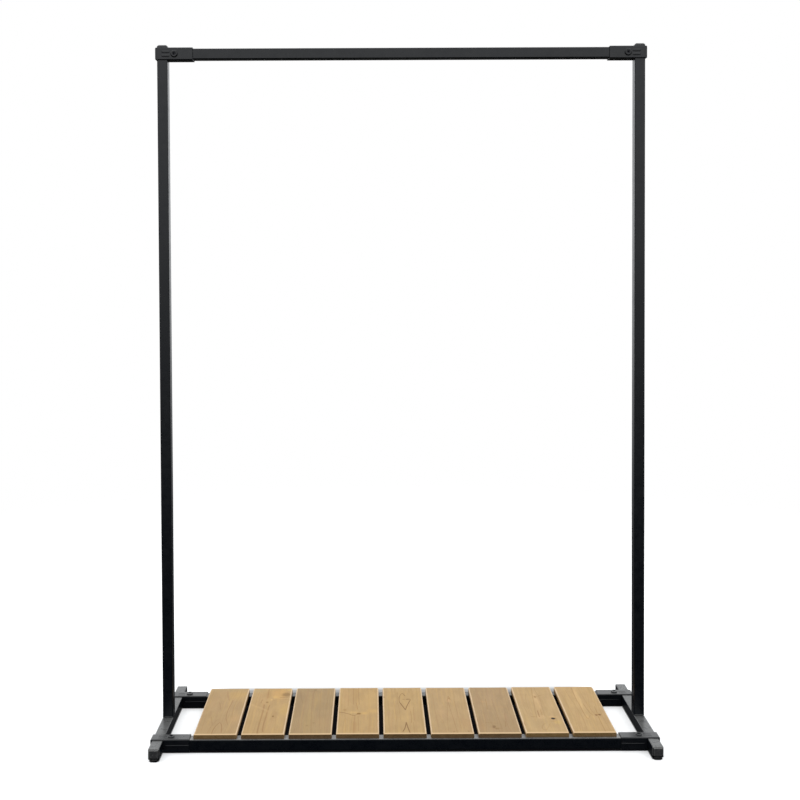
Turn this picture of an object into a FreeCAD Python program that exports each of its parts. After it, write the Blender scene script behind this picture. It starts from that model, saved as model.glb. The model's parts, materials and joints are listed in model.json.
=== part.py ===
import FreeCAD, Part
import math
import os

V = FreeCAD.Vector

# ---------------------------------------------------------------------------
# Free-standing clothes rack with a slatted wooden shelf.
# Two square-tube uprights stand on square-tube foot rails.  A hanging rail
# joins the uprights near their tops, and two shelf rails join the foot rails
# near the floor.  Six identical cast T-clamps make the joints.  Nine softwood
# boards lie across the shelf rails and are screwed down from below.
#
# Frame: millimetres, +Z up, origin on the floor in the middle of the rack.
# X runs along the hanging rail, -Y is the front.
# ---------------------------------------------------------------------------

# --- driving dimensions ----------------------------------------------------
TUBE = 25.0              # outside of the square steel tube
WALL = 1.5               # tube wall
TUBE_R = 2.0             # outside corner radius of the tube

RACK_W = 1160.0          # over the outer faces of the two uprights
TUBE_TOP = 1638.0        # top of the upright tubes
CAP_HEAD = 4.0           # thickness of a tube cap's head
FOOT_LEN = 364.0         # foot rail with both end caps' heads
GLIDE_H = 5.0            # foot rail's height above the floor, on the pads

HANG_Z = 1620.5          # centre height of the hanging rail at rest
SHELF_Y = 123.0          # shelf rails lie this far in front of / behind the uprights

CLAMP_OUT = 30.0         # outside of a clamp, across collar and socket
CLAMP_LEN = 90.0         # clamp's whole length
COLLAR_HOLE = 25.6       # square hole that the post passes through
SOCKET_HOLE = 25.0       # square socket that holds the rail's end
END_WALL = 4.2           # thick outer wall, threaded for the lock screw
WEB = 3.2                # wall between collar hole and socket
BOSS_R = 8.0             # round boss for the rail's set screw
BOSS_H = 3.0
BOSS_AT = 29.0           # boss centre, from the post's axis along the socket
SET_R = 3.95             # M8 set screw in the boss
SET_HOLE_R = 4.0
LOCK_R = 3.0             # M6 lock screw in the end wall
LOCK_HOLE_R = 3.05

BOARDS = 9
BOARD_W = 99.5
BOARD_GAP = 9.7
BOARD_T = 11.0
BOARD_L = 267.0
BOARD_Y = 1.0            # boards sit this far behind the middle
BOARD_SHIFT = [0.0, 0.3, -0.2, 0.8, 0.4, -0.3, 0.2, 1.6, 2.2]
BOARD_EDGE_R = 1.6       # eased long arrises

CAP_BEVEL_W = 3.6        # bevel round a cap's head, inwards
CAP_BEVEL_H = 3.2        # and along the tube
PAD_W = 20.5             # pad moulded under a foot cap
PAD_L = 26.0
PAD_R = 6.0
PAD_EASE = 0.8
PAD_SET = 0.6            # pad's front edge behind the cap's face

SCREW_R = 2.0            # board screw
SCREW_HOLE_R = 2.2
SCREW_HEAD_R = 4.0
SCREW_HEAD_H = 2.2
SCREW_BITE = 8.0         # length of screw in the board

WELD = 3.0               # leg of the weld bead

# --- derived ---------------------------------------------------------------
POST_X = RACK_W / 2 - TUBE / 2
RAIL_Z = GLIDE_H + TUBE / 2          # centre height of foot and shelf rails
RAIL_TOP = GLIDE_H + TUBE
FOOT_TUBE = FOOT_LEN - 2 * CAP_HEAD  # the caps' heads complete the length
SOCKET_BOTTOM = COLLAR_HOLE / 2 + WEB
OUTER_END = COLLAR_HOLE / 2 + END_WALL
INNER_END = CLAMP_LEN - OUTER_END
RAIL_HALF = POST_X - SOCKET_BOTTOM   # shelf and hanging rails butt on the webs

os.makedirs("parts", exist_ok=True)


# --- helpers ---------------------------------------------------------------
def box(x0, x1, y0, y1, z0, z1):
    return Part.makeBox(x1 - x0, y1 - y0, z1 - z0, V(x0, y0, z0))


def cyl(r, h, base, direction):
    return Part.makeCylinder(r, h, V(*base), V(*direction))


def rounded_wire(w, h, radii):
    """Closed wire of a w by h rectangle in XY about the origin.

    radii are for the corners (-,-), (+,-), (+,+), (-,+)."""
    a, b = w / 2, h / 2
    corners = [(-a, -b), (a, -b), (a, b), (-a, b)]
    dirs = [(1, 0), (0, 1), (-1, 0), (0, -1)]
    edges = []
    pts = []
    for i, (cx, cy) in enumerate(corners):
        r = radii[i]
        din = dirs[i - 1]
        dout = dirs[i]
        p0 = V(cx - din[0] * r, cy - din[1] * r, 0)
        p1 = V(cx + dout[0] * r, cy + dout[1] * r, 0)
        c = V(cx - din[0] * r + dout[0] * r, cy - din[1] * r + dout[1] * r, 0)
        pts.append((p0, p1, c, r))
    for i in range(4):
        p0, p1, c, r = pts[i]
        if r > 1e-6:
            corner = V(*corners[i], 0)
            mid = c + (corner - c).normalize() * r
            edges.append(Part.Arc(p0, mid, p1).toShape())
        q0 = pts[(i + 1) % 4][0]
        edges.append(Part.makeLine(p1, q0))
    return Part.Wire(edges)


def prism(w, h, length, radii):
    """Solid of that section along +Z from z = 0."""
    if not isinstance(radii, (list, tuple)):
        radii = [radii] * 4
    return Part.Face(rounded_wire(w, h, radii)).extrude(V(0, 0, length))


def turned(shape, axis, degrees):
    s = shape.copy()
    s.rotate(V(0, 0, 0), V(*axis), degrees)
    return s


def moved(shape, x, y, z):
    s = shape.copy()
    s.translate(V(x, y, z))
    return s


def tube(length):
    outer = prism(TUBE, TUBE, length, TUBE_R)
    inner = prism(TUBE - 2 * WALL, TUBE - 2 * WALL, length + 2, TUBE_R - WALL)
    return outer.cut(moved(inner, 0, 0, -1))


def tube_x(x0, x1, y, z):
    return moved(turned(tube(x1 - x0), (0, 1, 0), 90), x0, y, z)


def tube_y(y0, y1, x, z):
    return moved(turned(tube(y1 - y0), (1, 0, 0), -90), x, y0, z)


def hex_prism(af, depth):
    r = af / 2 / math.cos(math.pi / 6)
    pts = [V(r * math.cos(math.pi / 3 * i), r * math.sin(math.pi / 3 * i), 0)
           for i in range(7)]
    return Part.Face(Part.makePolygon(pts)).extrude(V(0, 0, depth))


def set_screw(r, length, af, hex_depth):
    """Headless screw along Z: cup tip at z = 0, hexagon socket at the top."""
    body = cyl(r, length, (0, 0, 0), (0, 0, 1))
    body = body.cut(Part.makeCone(r * 0.55, 0.0, r * 0.3, V(0, 0, -0.001), V(0, 0, 1)))
    top = Part.makeCone(r + 0.6, r - 0.4, 1.0, V(0, 0, length - 1.0), V(0, 0, 1))
    low = cyl(r + 1, length - 1.0, (0, 0, 0), (0, 0, 1))
    body = body.common(low.fuse(top))
    return body.cut(moved(hex_prism(af, hex_depth + 1), 0, 0, length - hex_depth))


def clamp():
    """T-clamp: post along Z through the origin, socket towards +X,
    set screw boss towards -Y."""
    a = CLAMP_OUT / 2
    mid = (INNER_END - OUTER_END) / 2
    # outer form: the common part of three rounded outlines
    side = prism(CLAMP_LEN, CLAMP_OUT, 80, [4.0, 1.4, 1.4, 4.0])     # XY outline
    side = moved(side, mid, 0, -40)
    front = prism(CLAMP_LEN, CLAMP_OUT, 80, [4.0, 1.4, 1.4, 4.0])    # XZ outline
    front = moved(turned(front, (1, 0, 0), 90), mid, 40, 0)
    end = prism(CLAMP_OUT, CLAMP_OUT, CLAMP_LEN + 20, 2.2)           # YZ outline
    end = moved(turned(end, (0, 1, 0), 90), -OUTER_END - 10, 0, 0)
    body = side.common(front).common(end)
    # boss for the rail's set screw, with an eased rim
    boss = cyl(BOSS_R, BOSS_H + 2, (BOSS_AT, -a + 2, 0), (0, -1, 0))
    rim = Part.makeCone(BOSS_R + 2.2, BOSS_R - 0.8, 3.0,
                        V(BOSS_AT, -a - BOSS_H + 3.0, 0), V(0, -1, 0))
    skirt = cyl(BOSS_R + 2.2, 3.0, (BOSS_AT, -a + 2.0, 0), (0, -1, 0))
    boss = boss.common(rim.fuse(skirt))
    body = body.fuse(boss)
    # two raised ribs on the boss face, between the boss and the collar
    for dz in (-4.6, 4.6):
        body = body.fuse(moved(
            turned(prism(17.5, 4.6, 1.4, 1.6), (1, 0, 0), 90), 8.6, -a + 0.8, dz))
    # casting ridge along both side faces, half-way through the depth
    for s in (-1, 1):
        ridge = prism(INNER_END - 20, 2.4, 1.0, 0.6)
        z0 = a - 0.6 if s > 0 else -a - 0.4
        body = body.fuse(moved(ridge, 20 + (INNER_END - 20) / 2 - 1.5, 0, z0))
    # collar hole and socket
    hole = prism(COLLAR_HOLE, COLLAR_HOLE, 80, 1.6)
    body = body.cut(moved(hole, 0, 0, -40))
    sock = turned(prism(SOCKET_HOLE, SOCKET_HOLE, 80, TUBE_R), (0, 1, 0), 90)
    body = body.cut(moved(sock, SOCKET_BOTTOM, 0, 0))
    # threaded holes, without their threads
    body = body.cut(cyl(SET_HOLE_R, 20, (BOSS_AT, -5, 0), (0, -1, 0)))
    body = body.cut(cyl(LOCK_HOLE_R, 20, (-5, 0, 0), (-1, 0, 0)))
    return body.removeSplitter()


def place_clamp(shape, where, side, y=0.0, z=0.0):
    """where: 'top' on an upright, 'foot' on a foot rail; side -1 left, +1 right."""
    s = shape.copy()
    if where == "foot":
        # post axis to Y, boss from -Y to +Z
        s.rotate(V(0, 0, 0), V(1, 0, 0), -90)
    if side > 0:
        s = s.mirror(V(0, 0, 0), V(1, 0, 0))
    return moved(s, side * POST_X, y, z)


def cap(foot=False):
    """Tube cap along Z: head from z = 0 up, ribbed plug below.

    With foot, a pad is moulded below the head on the -Y side; it lies
    under the tube and carries the rail's end off the floor."""
    head = prism(TUBE, TUBE, CAP_HEAD, TUBE_R)
    # wide mitred chamfers round the head
    wedge = Part.Face(Part.makePolygon([
        V(0, 0, CAP_HEAD - CAP_BEVEL_H), V(4, 0, CAP_HEAD - CAP_BEVEL_H), V(4, 0, CAP_HEAD + 2),
        V(-CAP_BEVEL_W, 0, CAP_HEAD + 2), V(-CAP_BEVEL_W, 0, CAP_HEAD),
        V(0, 0, CAP_HEAD - CAP_BEVEL_H)])).extrude(V(0, 60, 0))
    wedge = moved(wedge, TUBE / 2, -30, 0)
    for k in range(4):
        head = head.cut(turned(wedge, (0, 0, 1), 90 * k))
    inner = TUBE - 2 * WALL
    plug = prism(inner - 1.6, inner - 1.6, 14.0, 0.8)
    plug = moved(plug, 0, 0, -14.0)
    for z0 in (-3.0, -7.0, -11.0):
        plug = plug.fuse(moved(prism(inner, inner, 1.2, TUBE_R - WALL), 0, 0, z0))
    hollow = moved(prism(inner - 5.0, inner - 5.0, 20.0, 0.8), 0, 0, -20.0 - 0.5)
    body = head.fuse(plug).cut(hollow)
    if foot:
        # plan outline in XZ, thickness along -Y below the tube
        pad = prism(PAD_W, PAD_L, GLIDE_H - PAD_EASE, [PAD_R] * 4)
        low = prism(PAD_W - 2 * PAD_EASE, PAD_L - 2 * PAD_EASE, GLIDE_H, [PAD_R - PAD_EASE] * 4)
        pad = pad.fuse(low)
        pad = turned(pad, (1, 0, 0), 90)
        pad = moved(pad, 0, -TUBE / 2, CAP_HEAD - PAD_SET - PAD_L / 2)
        body = body.fuse(pad)
    return body.removeSplitter()


def board(i):
    x0 = -(BOARDS * BOARD_W + (BOARDS - 1) * BOARD_GAP) / 2 + i * (BOARD_W + BOARD_GAP)
    y0 = BOARD_Y - BOARD_L / 2 + BOARD_SHIFT[i]
    r = BOARD_EDGE_R
    sec = prism(BOARD_W, BOARD_T, BOARD_L, [r * 0.5, r * 0.5, r, r])
    sec = turned(sec, (1, 0, 0), 90)                       # section in XZ, towards -Y
    sec = moved(sec, x0 + BOARD_W / 2, y0 + BOARD_L, RAIL_TOP + BOARD_T / 2)
    xc = x0 + BOARD_W / 2
    for y in (-SHELF_Y, SHELF_Y):
        sec = sec.cut(cyl(SCREW_R, SCREW_BITE + 0.3, (xc, y, RAIL_TOP - 0.001), (0, 0, 1)))
    return sec, xc


def board_screw(xc, y):
    z0 = GLIDE_H
    head = cyl(SCREW_HEAD_R, SCREW_HEAD_H, (xc, y, z0 - SCREW_HEAD_H), (0, 0, 1))
    ease = Part.makeCone(SCREW_HEAD_R - 1.4, SCREW_HEAD_R + 0.8, SCREW_HEAD_H,
                         V(xc, y, z0 - SCREW_HEAD_H), V(0, 0, 1))
    head = head.common(ease)
    for ang in (0, 90):
        slot = box(-2.0, 2.0, -0.45, 0.45, 0, 1.2)
        head = head.cut(moved(turned(slot, (0, 0, 1), ang), xc, y, z0 - SCREW_HEAD_H - 0.2))
    top = RAIL_TOP + SCREW_BITE - 2.0
    shank = cyl(SCREW_R, top - z0 + 0.2, (xc, y, z0 - 0.2), (0, 0, 1))
    tip = Part.makeCone(SCREW_R, 0.3, 2.0, V(xc, y, top), V(0, 0, 1))
    return head.fuse(shank).fuse(tip).removeSplitter()


# --- the pieces ------------------------------------------------------------
shapes = {}
clamp_shape = clamp()
cap_shape = cap()
foot_cap_shape = cap(foot=True)
board_solids = [board(i) for i in range(BOARDS)]
board_x = [xc for _, xc in board_solids]

for side, name in ((-1, "left"), (1, "right")):
    px = side * POST_X
    # upright, standing on the foot rail
    up = moved(tube(TUBE_TOP - RAIL_TOP), px, 0, RAIL_TOP)
    shapes[name + "_upright"] = up
    shapes[name + "_upright_cap"] = moved(cap_shape, px, 0, TUBE_TOP)
    # foot rail, front to back
    shapes[name + "_foot_rail"] = tube_y(-FOOT_TUBE / 2, FOOT_TUBE / 2, px, RAIL_Z)
    # weld bead round three sides of the upright's foot; the outer side is flush
    h = TUBE / 2
    tri_y = Part.Face(Part.makePolygon([V(0, 0, 0), V(0, -WELD, 0), V(0, 0, WELD), V(0, 0, 0)]))
    lenx = TUBE - TUBE_R
    x0 = px - h + (TUBE_R if side < 0 else 0)
    bead = moved(tri_y.extrude(V(lenx, 0, 0)), x0, -h, RAIL_TOP)
    back = bead.mirror(V(0, 0, 0), V(0, 1, 0))
    shapes[name + "_weld_bead"] = Part.makeCompound([bead, back])
    # foot caps and foot clamps
    for s, end in ((-1, "front"), (1, "rear")):
        c = turned(foot_cap_shape, (1, 0, 0), 90)          # head to -Y, pad to -Z
        if s > 0:
            c = c.mirror(V(0, 0, 0), V(0, 1, 0))
        shapes["%s_%s_foot_cap" % (end, name)] = moved(c, px, s * FOOT_TUBE / 2, RAIL_Z)
        shapes["%s_%s_clamp" % (end, name)] = place_clamp(
            clamp_shape, "foot", side, s * SHELF_Y, RAIL_Z)
    shapes["top_%s_clamp" % name] = place_clamp(clamp_shape, "top", side, 0, HANG_Z)

# rails
shapes["hanging_rail"] = tube_x(-RAIL_HALF, RAIL_HALF, 0, HANG_Z)
for s, end in ((-1, "front"), (1, "rear")):
    rail = tube_x(-RAIL_HALF, RAIL_HALF, s * SHELF_Y, RAIL_Z)
    for xc in board_x:
        rail = rail.cut(cyl(SCREW_HOLE_R, TUBE + 2, (xc, s * SHELF_Y, GLIDE_H - 1), (0, 0, 1)))
    shapes["%s_shelf_rail" % end] = rail
    shapes["%s_board_screws" % end] = Part.makeCompound(
        [board_screw(xc, s * SHELF_Y) for xc in board_x])

# boards
for i in range(BOARDS):
    shapes["shelf_board_%d" % (i + 1)] = board_solids[i][0]

# set screws in the bosses: the tip bears on the rail
set_len = CLAMP_OUT / 2 + BOSS_H - 0.6 - TUBE / 2
boss_screw = set_screw(SET_R, set_len, 4.0, 3.4)
tops = []
for side in (-1, 1):
    s = turned(boss_screw, (1, 0, 0), 90)
    tops.append(moved(s, side * (POST_X - BOSS_AT), -TUBE / 2, HANG_Z))
shapes["hanging_rail_set_screws"] = Part.makeCompound(tops)
lows = []
for side in (-1, 1):
    for s in (-1, 1):
        lows.append(moved(boss_screw, side * (POST_X - BOSS_AT), s * SHELF_Y, RAIL_Z + TUBE / 2))
shapes["shelf_rail_set_screws"] = Part.makeCompound(lows)

# lock screws in the clamps' end walls: the foot ones bear on the foot rail,
# the top ones stand 0.3 clear of the upright, so that they can turn
foot_lock = set_screw(LOCK_R, OUTER_END - 0.5 - TUBE / 2, 3.0, 2.4)
top_lock = set_screw(LOCK_R, OUTER_END - 0.5 - TUBE / 2 - 0.3, 3.0, 2.2)
locks = []
for side in (-1, 1):
    for s in (-1, 1):
        k = turned(foot_lock, (0, 1, 0), 90 * side)
        locks.append(moved(k, side * (POST_X + TUBE / 2), s * SHELF_Y, RAIL_Z))
    k = turned(top_lock, (0, 1, 0), 90 * side)
    shapes["%s_height_lock_screw" % ("left" if side < 0 else "right")] = moved(
        k, side * (POST_X + TUBE / 2 + 0.3), 0, HANG_Z)
shapes["foot_clamp_lock_screws"] = Part.makeCompound(locks)

# --- write -----------------------------------------------------------------
for node in sorted(shapes):
    shape = shapes[node]
    if not shape.isValid():
        print("INVALID", node)
    for solid in shape.Solids:
        if solid.Volume <= 0:
            print("NEGATIVE", node)
    bb = shape.BoundBox
    print("%-26s solids %2d  volume %10.1f  %.1f x %.1f x %.1f" % (
        node, len(shape.Solids), shape.Volume, bb.XLength, bb.YLength, bb.ZLength))
    shape.exportStep("parts/%s.step" % node)
print(len(shapes), "nodes")
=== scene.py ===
import json
import math
import random

import bmesh
import bpy
from mathutils import Matrix, Vector, noise as mnoise


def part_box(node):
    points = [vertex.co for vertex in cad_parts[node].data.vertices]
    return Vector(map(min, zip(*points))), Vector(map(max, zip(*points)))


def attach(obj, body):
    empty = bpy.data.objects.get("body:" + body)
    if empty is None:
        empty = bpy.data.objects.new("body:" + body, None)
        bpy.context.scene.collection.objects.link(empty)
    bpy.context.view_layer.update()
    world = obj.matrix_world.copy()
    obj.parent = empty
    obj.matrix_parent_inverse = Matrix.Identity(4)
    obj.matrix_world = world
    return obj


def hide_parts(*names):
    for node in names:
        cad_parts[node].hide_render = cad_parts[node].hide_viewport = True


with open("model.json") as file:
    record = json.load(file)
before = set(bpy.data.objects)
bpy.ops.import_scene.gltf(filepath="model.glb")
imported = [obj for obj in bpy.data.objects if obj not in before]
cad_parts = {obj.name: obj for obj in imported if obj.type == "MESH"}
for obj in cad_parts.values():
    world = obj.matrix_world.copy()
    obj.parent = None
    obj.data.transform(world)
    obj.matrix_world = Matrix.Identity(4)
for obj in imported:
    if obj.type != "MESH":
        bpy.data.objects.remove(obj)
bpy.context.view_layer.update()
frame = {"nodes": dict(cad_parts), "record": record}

scene = bpy.context.scene
MM = 0.001


def coords(box):
    lo, hi = box
    return tuple(lo), tuple(hi)


# ---------------------------------------------------------------------------
# Camera: the rack seen from the front at chest height
# ---------------------------------------------------------------------------
F_PX, CX_PX, CY_PX = 1039.88, 373.34, 300.19
EYE = Vector((-0.0716, -2.4941, 1.0916))
YAW, PITCH, ROLL = 0.0012, 0.0234, -0.0043

cy_, sy_ = math.cos(YAW), math.sin(YAW)
cp_, sp_ = math.cos(PITCH), math.sin(PITCH)
ahead = Vector((sy_ * cp_, cy_ * cp_, -sp_))
right = Vector((cy_, -sy_, 0.0))
up = right.cross(ahead)
cr_, sr_ = math.cos(ROLL), math.sin(ROLL)
r2 = cr_ * right + sr_ * up
u2 = -sr_ * right + cr_ * up
cam_data = bpy.data.cameras.new("camera")
cam = bpy.data.objects.new("camera", cam_data)
scene.collection.objects.link(cam)
rot = Matrix((r2, u2, -ahead)).transposed().to_4x4()
cam.matrix_world = Matrix.Translation(EYE) @ rot
cam_data.sensor_fit = 'HORIZONTAL'
cam_data.sensor_width = 36.0
cam_data.lens = F_PX / 800.0 * 36.0
cam_data.shift_x = (400.0 - CX_PX) / 800.0
cam_data.shift_y = (CY_PX - 400.0) / 800.0
cam_data.clip_start = 0.05
cam_data.clip_end = 100.0
scene.camera = cam

scene.view_settings.view_transform = 'Standard'
scene.view_settings.look = 'None'
scene.view_settings.exposure = 0.0
scene.view_settings.gamma = 1.0


# ---------------------------------------------------------------------------
# Node-building helpers
# ---------------------------------------------------------------------------
class Tree:
    """A few short words for building a shader tree."""

    def __init__(self, mat):
        mat.use_nodes = True
        self.t = mat.node_tree
        self.t.nodes.clear()
        self.out = self.t.nodes.new("ShaderNodeOutputMaterial")
        self._pos = None

    def node(self, kind):
        return self.t.nodes.new(kind)

    def link(self, a, b):
        self.t.links.new(a, b)

    def put(self, value, socket):
        if isinstance(value, bpy.types.NodeSocket):
            self.link(value, socket)
        else:
            socket.default_value = value

    def math(self, op, a, b=None, c=None, clamp=False):
        n = self.node("ShaderNodeMath")
        n.operation = op
        n.use_clamp = clamp
        for i, v in enumerate((a, b, c)):
            if v is not None:
                self.put(v, n.inputs[i])
        return n.outputs[0]

    def add(self, a, b):
        return self.math('ADD', a, b)

    def sub(self, a, b):
        return self.math('SUBTRACT', a, b)

    def mul(self, a, b):
        return self.math('MULTIPLY', a, b)

    def div(self, a, b):
        return self.math('DIVIDE', a, b)

    def muladd(self, a, b, c):
        return self.math('MULTIPLY_ADD', a, b, c)

    def sqrt(self, a):
        return self.math('SQRT', a)

    def frac(self, a):
        return self.math('FRACT', a)

    def step(self, value, lo, hi, out_lo=0.0, out_hi=1.0):
        n = self.node("ShaderNodeMapRange")
        n.interpolation_type = 'SMOOTHSTEP'
        self.put(value, n.inputs[0])
        for i, v in ((1, lo), (2, hi), (3, out_lo), (4, out_hi)):
            self.put(v, n.inputs[i])
        return n.outputs[0]

    def linear(self, value, lo, hi, out_lo=0.0, out_hi=1.0):
        n = self.node("ShaderNodeMapRange")
        self.put(value, n.inputs[0])
        for i, v in ((1, lo), (2, hi), (3, out_lo), (4, out_hi)):
            self.put(v, n.inputs[i])
        return n.outputs[0]

    def xyz(self):
        """Object coordinates in millimetres."""
        if self._pos is None:
            tc = self.node("ShaderNodeTexCoord")
            vm = self.node("ShaderNodeVectorMath")
            vm.operation = 'SCALE'
            self.link(tc.outputs["Object"], vm.inputs[0])
            vm.inputs["Scale"].default_value = 1000.0
            sep = self.node("ShaderNodeSeparateXYZ")
            self.link(vm.outputs[0], sep.inputs[0])
            self._pos = (vm.outputs[0], sep.outputs[0], sep.outputs[1], sep.outputs[2])
        return self._pos

    def vec(self, x, y, z):
        n = self.node("ShaderNodeCombineXYZ")
        for i, v in enumerate((x, y, z)):
            self.put(v, n.inputs[i])
        return n.outputs[0]

    def noise(self, vector, scale=1.0, detail=2.0, rough=0.5, distortion=0.0):
        n = self.node("ShaderNodeTexNoise")
        n.noise_dimensions = '3D'
        self.link(vector, n.inputs["Vector"])
        n.inputs["Scale"].default_value = scale
        n.inputs["Detail"].default_value = detail
        n.inputs["Roughness"].default_value = rough
        n.inputs["Distortion"].default_value = distortion
        return n.outputs["Fac"]

    def voronoi(self, vector, scale=1.0, feature='F1', randomness=1.0):
        n = self.node("ShaderNodeTexVoronoi")
        n.feature = feature
        self.link(vector, n.inputs["Vector"])
        n.inputs["Scale"].default_value = scale
        n.inputs["Randomness"].default_value = randomness
        return n.outputs["Distance"]

    def mix(self, fac, a, b, mode='MIX'):
        n = self.node("ShaderNodeMix")
        n.data_type = 'RGBA'
        n.blend_type = mode
        n.clamp_factor = True
        self.put(fac, n.inputs["Factor"])
        for name, v in (("A", a), ("B", b)):
            sock = [s for s in n.inputs if s.name == name and s.type == 'RGBA'][0]
            if isinstance(v, bpy.types.NodeSocket):
                self.link(v, sock)
            else:
                sock.default_value = (v[0], v[1], v[2], 1.0)
        return [s for s in n.outputs if s.type == 'RGBA'][0]

    def scale_rgb(self, colour, factor):
        """Colour times a grey factor."""
        n = self.node("ShaderNodeVectorMath")
        n.operation = 'SCALE'
        self.link(colour, n.inputs[0])
        self.put(factor, n.inputs["Scale"])
        return n.outputs[0]

    def attr(self, name):
        n = self.node("ShaderNodeAttribute")
        n.attribute_type = 'GEOMETRY'
        n.attribute_name = name
        return n.outputs["Fac"]

    def bump(self, height, strength=0.2, distance=0.0002, normal=None):
        n = self.node("ShaderNodeBump")
        n.inputs["Strength"].default_value = strength
        n.inputs["Distance"].default_value = distance
        self.link(height, n.inputs["Height"])
        if normal is not None:
            self.link(normal, n.inputs["Normal"])
        return n.outputs["Normal"]

    def principled(self, base, rough, normal=None, **fixed):
        n = self.node("ShaderNodeBsdfPrincipled")
        self.put(base if isinstance(base, bpy.types.NodeSocket) else (*base, 1.0), n.inputs["Base Color"])
        self.put(rough, n.inputs["Roughness"])
        if normal is not None:
            self.link(normal, n.inputs["Normal"])
        for name, value in fixed.items():
            n.inputs[name.replace("_", " ")].default_value = value
        self.link(n.outputs[0], self.out.inputs[0])
        return n


# ---------------------------------------------------------------------------
# Materials of the metal and plastic pieces
# ---------------------------------------------------------------------------
def worn_edges(t, p, col, amount, colour, lo=0.515, hi=0.565):
    """Rubbed corners: the coat is thinner and paler where the form is sharp."""
    geo = t.node("ShaderNodeNewGeometry")
    rub = t.noise(p, 0.22, 4.0, 0.65)
    m = t.mul(t.step(geo.outputs["Pointiness"], lo, hi), t.step(rub, 0.30, 0.62, 0.25, 1.0))
    return t.mix(t.mul(m, amount), col, colour)


def powder_coat(name, base, tint, rough, grain, seed, spec=0.36, wear=0.0, dust_and_sheen=(0.066, 0.066, 0.064)):
    """Powder-coated steel: fine orange peel, faint cloudiness, up-facing faces lightened by dust and a painted sheen.
    """
    mat = bpy.data.materials.new(name)
    t = Tree(mat)
    pos, x, y, z = t.xyz()
    off = t.node("ShaderNodeVectorMath")
    off.operation = 'ADD'
    t.link(pos, off.inputs[0])
    off.inputs[1].default_value = (seed * 13.7, seed * 7.3, seed * 3.1)
    p = off.outputs[0]
    cloud = t.noise(p, 0.018, 3.0, 0.55)
    hand = t.noise(p, 0.06, 4.0, 0.6, 0.4)
    fine = t.noise(p, 0.9, 2.0, 0.5)
    col = t.mix(t.step(cloud, 0.32, 0.68), base, tint)
    col = t.mix(t.step(fine, 0.62, 0.8, 0.0, 0.35), col,
                tuple(min(1.0, c * 2.2 + 0.004) for c in base))
    if wear:
        col = worn_edges(t, p, col, wear, (0.085, 0.085, 0.083))
    facing = t.node("ShaderNodeTexCoord")
    nsep = t.node("ShaderNodeSeparateXYZ")
    t.link(facing.outputs["Normal"], nsep.inputs[0])
    # dust and painted sheen: faces looking up are lightened, partly for dust and partly as a painted stand-in for the
    # bright sky reflected on top faces
    dust_and_sheen_mask = t.mul(t.step(nsep.outputs[2], 0.70, 0.97), t.step(hand, 0.25, 0.72, 0.62, 1.0))
    dust_and_sheen_mask = t.mul(dust_and_sheen_mask, t.step(fine, 0.25, 0.75, 0.82, 1.0))
    col = t.mix(dust_and_sheen_mask, col, dust_and_sheen)
    r = t.add(t.linear(hand, 0.25, 0.75, rough - 0.055, rough + 0.055),
              t.linear(fine, 0.2, 0.8, -0.03, 0.03))
    # undersides stay unpolished
    r = t.add(r, t.step(nsep.outputs[2], -0.4, -0.9, 0.0, 0.40))
    peel = t.noise(p, 0.55, 2.0, 0.5)
    micro = t.noise(p, 3.2, 1.0, 0.5)
    height = t.add(t.mul(peel, 0.65), t.mul(micro, 0.35))
    nrm = t.bump(height, grain, 0.0003)
    t.principled(col, r, nrm, Specular_IOR_Level=spec)
    return mat


def moulded_plastic(name, base, rough, seed):
    """Grained black plastic, scuffed and dusty where it gets kicked."""
    mat = bpy.data.materials.new(name)
    t = Tree(mat)
    pos, x, y, z = t.xyz()
    spark = t.voronoi(pos, 1.5, 'F1')
    cloud = t.noise(pos, 0.10 + 0.01 * seed, 3.0, 0.6)
    dirt = t.noise(pos, 0.30, 5.0, 0.70, 0.6)
    col = t.mix(t.step(cloud, 0.3, 0.7), base, tuple(c * 1.6 + 0.002 for c in base))
    low = t.step(z, 60.0, 20.0)
    facing = t.node("ShaderNodeTexCoord")
    nsep = t.node("ShaderNodeSeparateXYZ")
    t.link(facing.outputs["Normal"], nsep.inputs[0])
    upward = t.step(nsep.outputs[2], 0.05, 0.9, 0.16, 1.0)
    col = t.mix(t.mul(t.mul(t.step(dirt, 0.34, 0.66, 0.22, 0.95), upward), t.add(t.mul(low, 0.80), 0.12)), col, (0.130, 0.128, 0.120))
    scratch = t.noise(t.vec(t.mul(x, 0.25), t.mul(y, 2.4), t.mul(z, 1.2)), 1.0, 2.0, 0.7, 1.5)
    col = t.mix(t.mul(t.step(scratch, 0.66, 0.74, 0.0, 0.6), low), col, (0.11, 0.108, 0.10))
    # pale scuffs, thickest at the left front foot
    scuff = t.noise(pos, 0.42, 3.0, 0.65, 0.8)
    side = t.step(x, 200.0, -200.0, 0.35, 1.0)
    col = t.mix(t.mul(t.mul(t.step(scuff, 0.60, 0.68, 0.0, 0.75), low), t.mul(side, t.step(z, 9.0, 12.0))), col, (0.30, 0.30, 0.29))
    col = worn_edges(t, pos, col, 0.85, (0.26, 0.26, 0.25), 0.503, 0.535)
    # painted shade: below 8-11 mm height, at the foot pad on the floor, the colour is darkened to near black and the
    # roughness lowered
    bottom_painted_shade = t.step(z, 8.0, 11.0, 0.06, 1.0)
    col = t.scale_rgb(col, bottom_painted_shade)
    r = t.linear(t.add(t.mul(cloud, 0.5), t.mul(dirt, 0.5)), 0.2, 0.8, rough - 0.08, rough + 0.10)
    r = t.mul(r, t.linear(bottom_painted_shade, 0.06, 1.0, 0.62, 1.0))
    nrm = t.bump(t.add(t.mul(spark, 0.7), t.mul(dirt, 0.4)), 0.30, 0.0003)
    t.principled(col, r, nrm, Specular_IOR_Level=0.5)
    return mat


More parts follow.
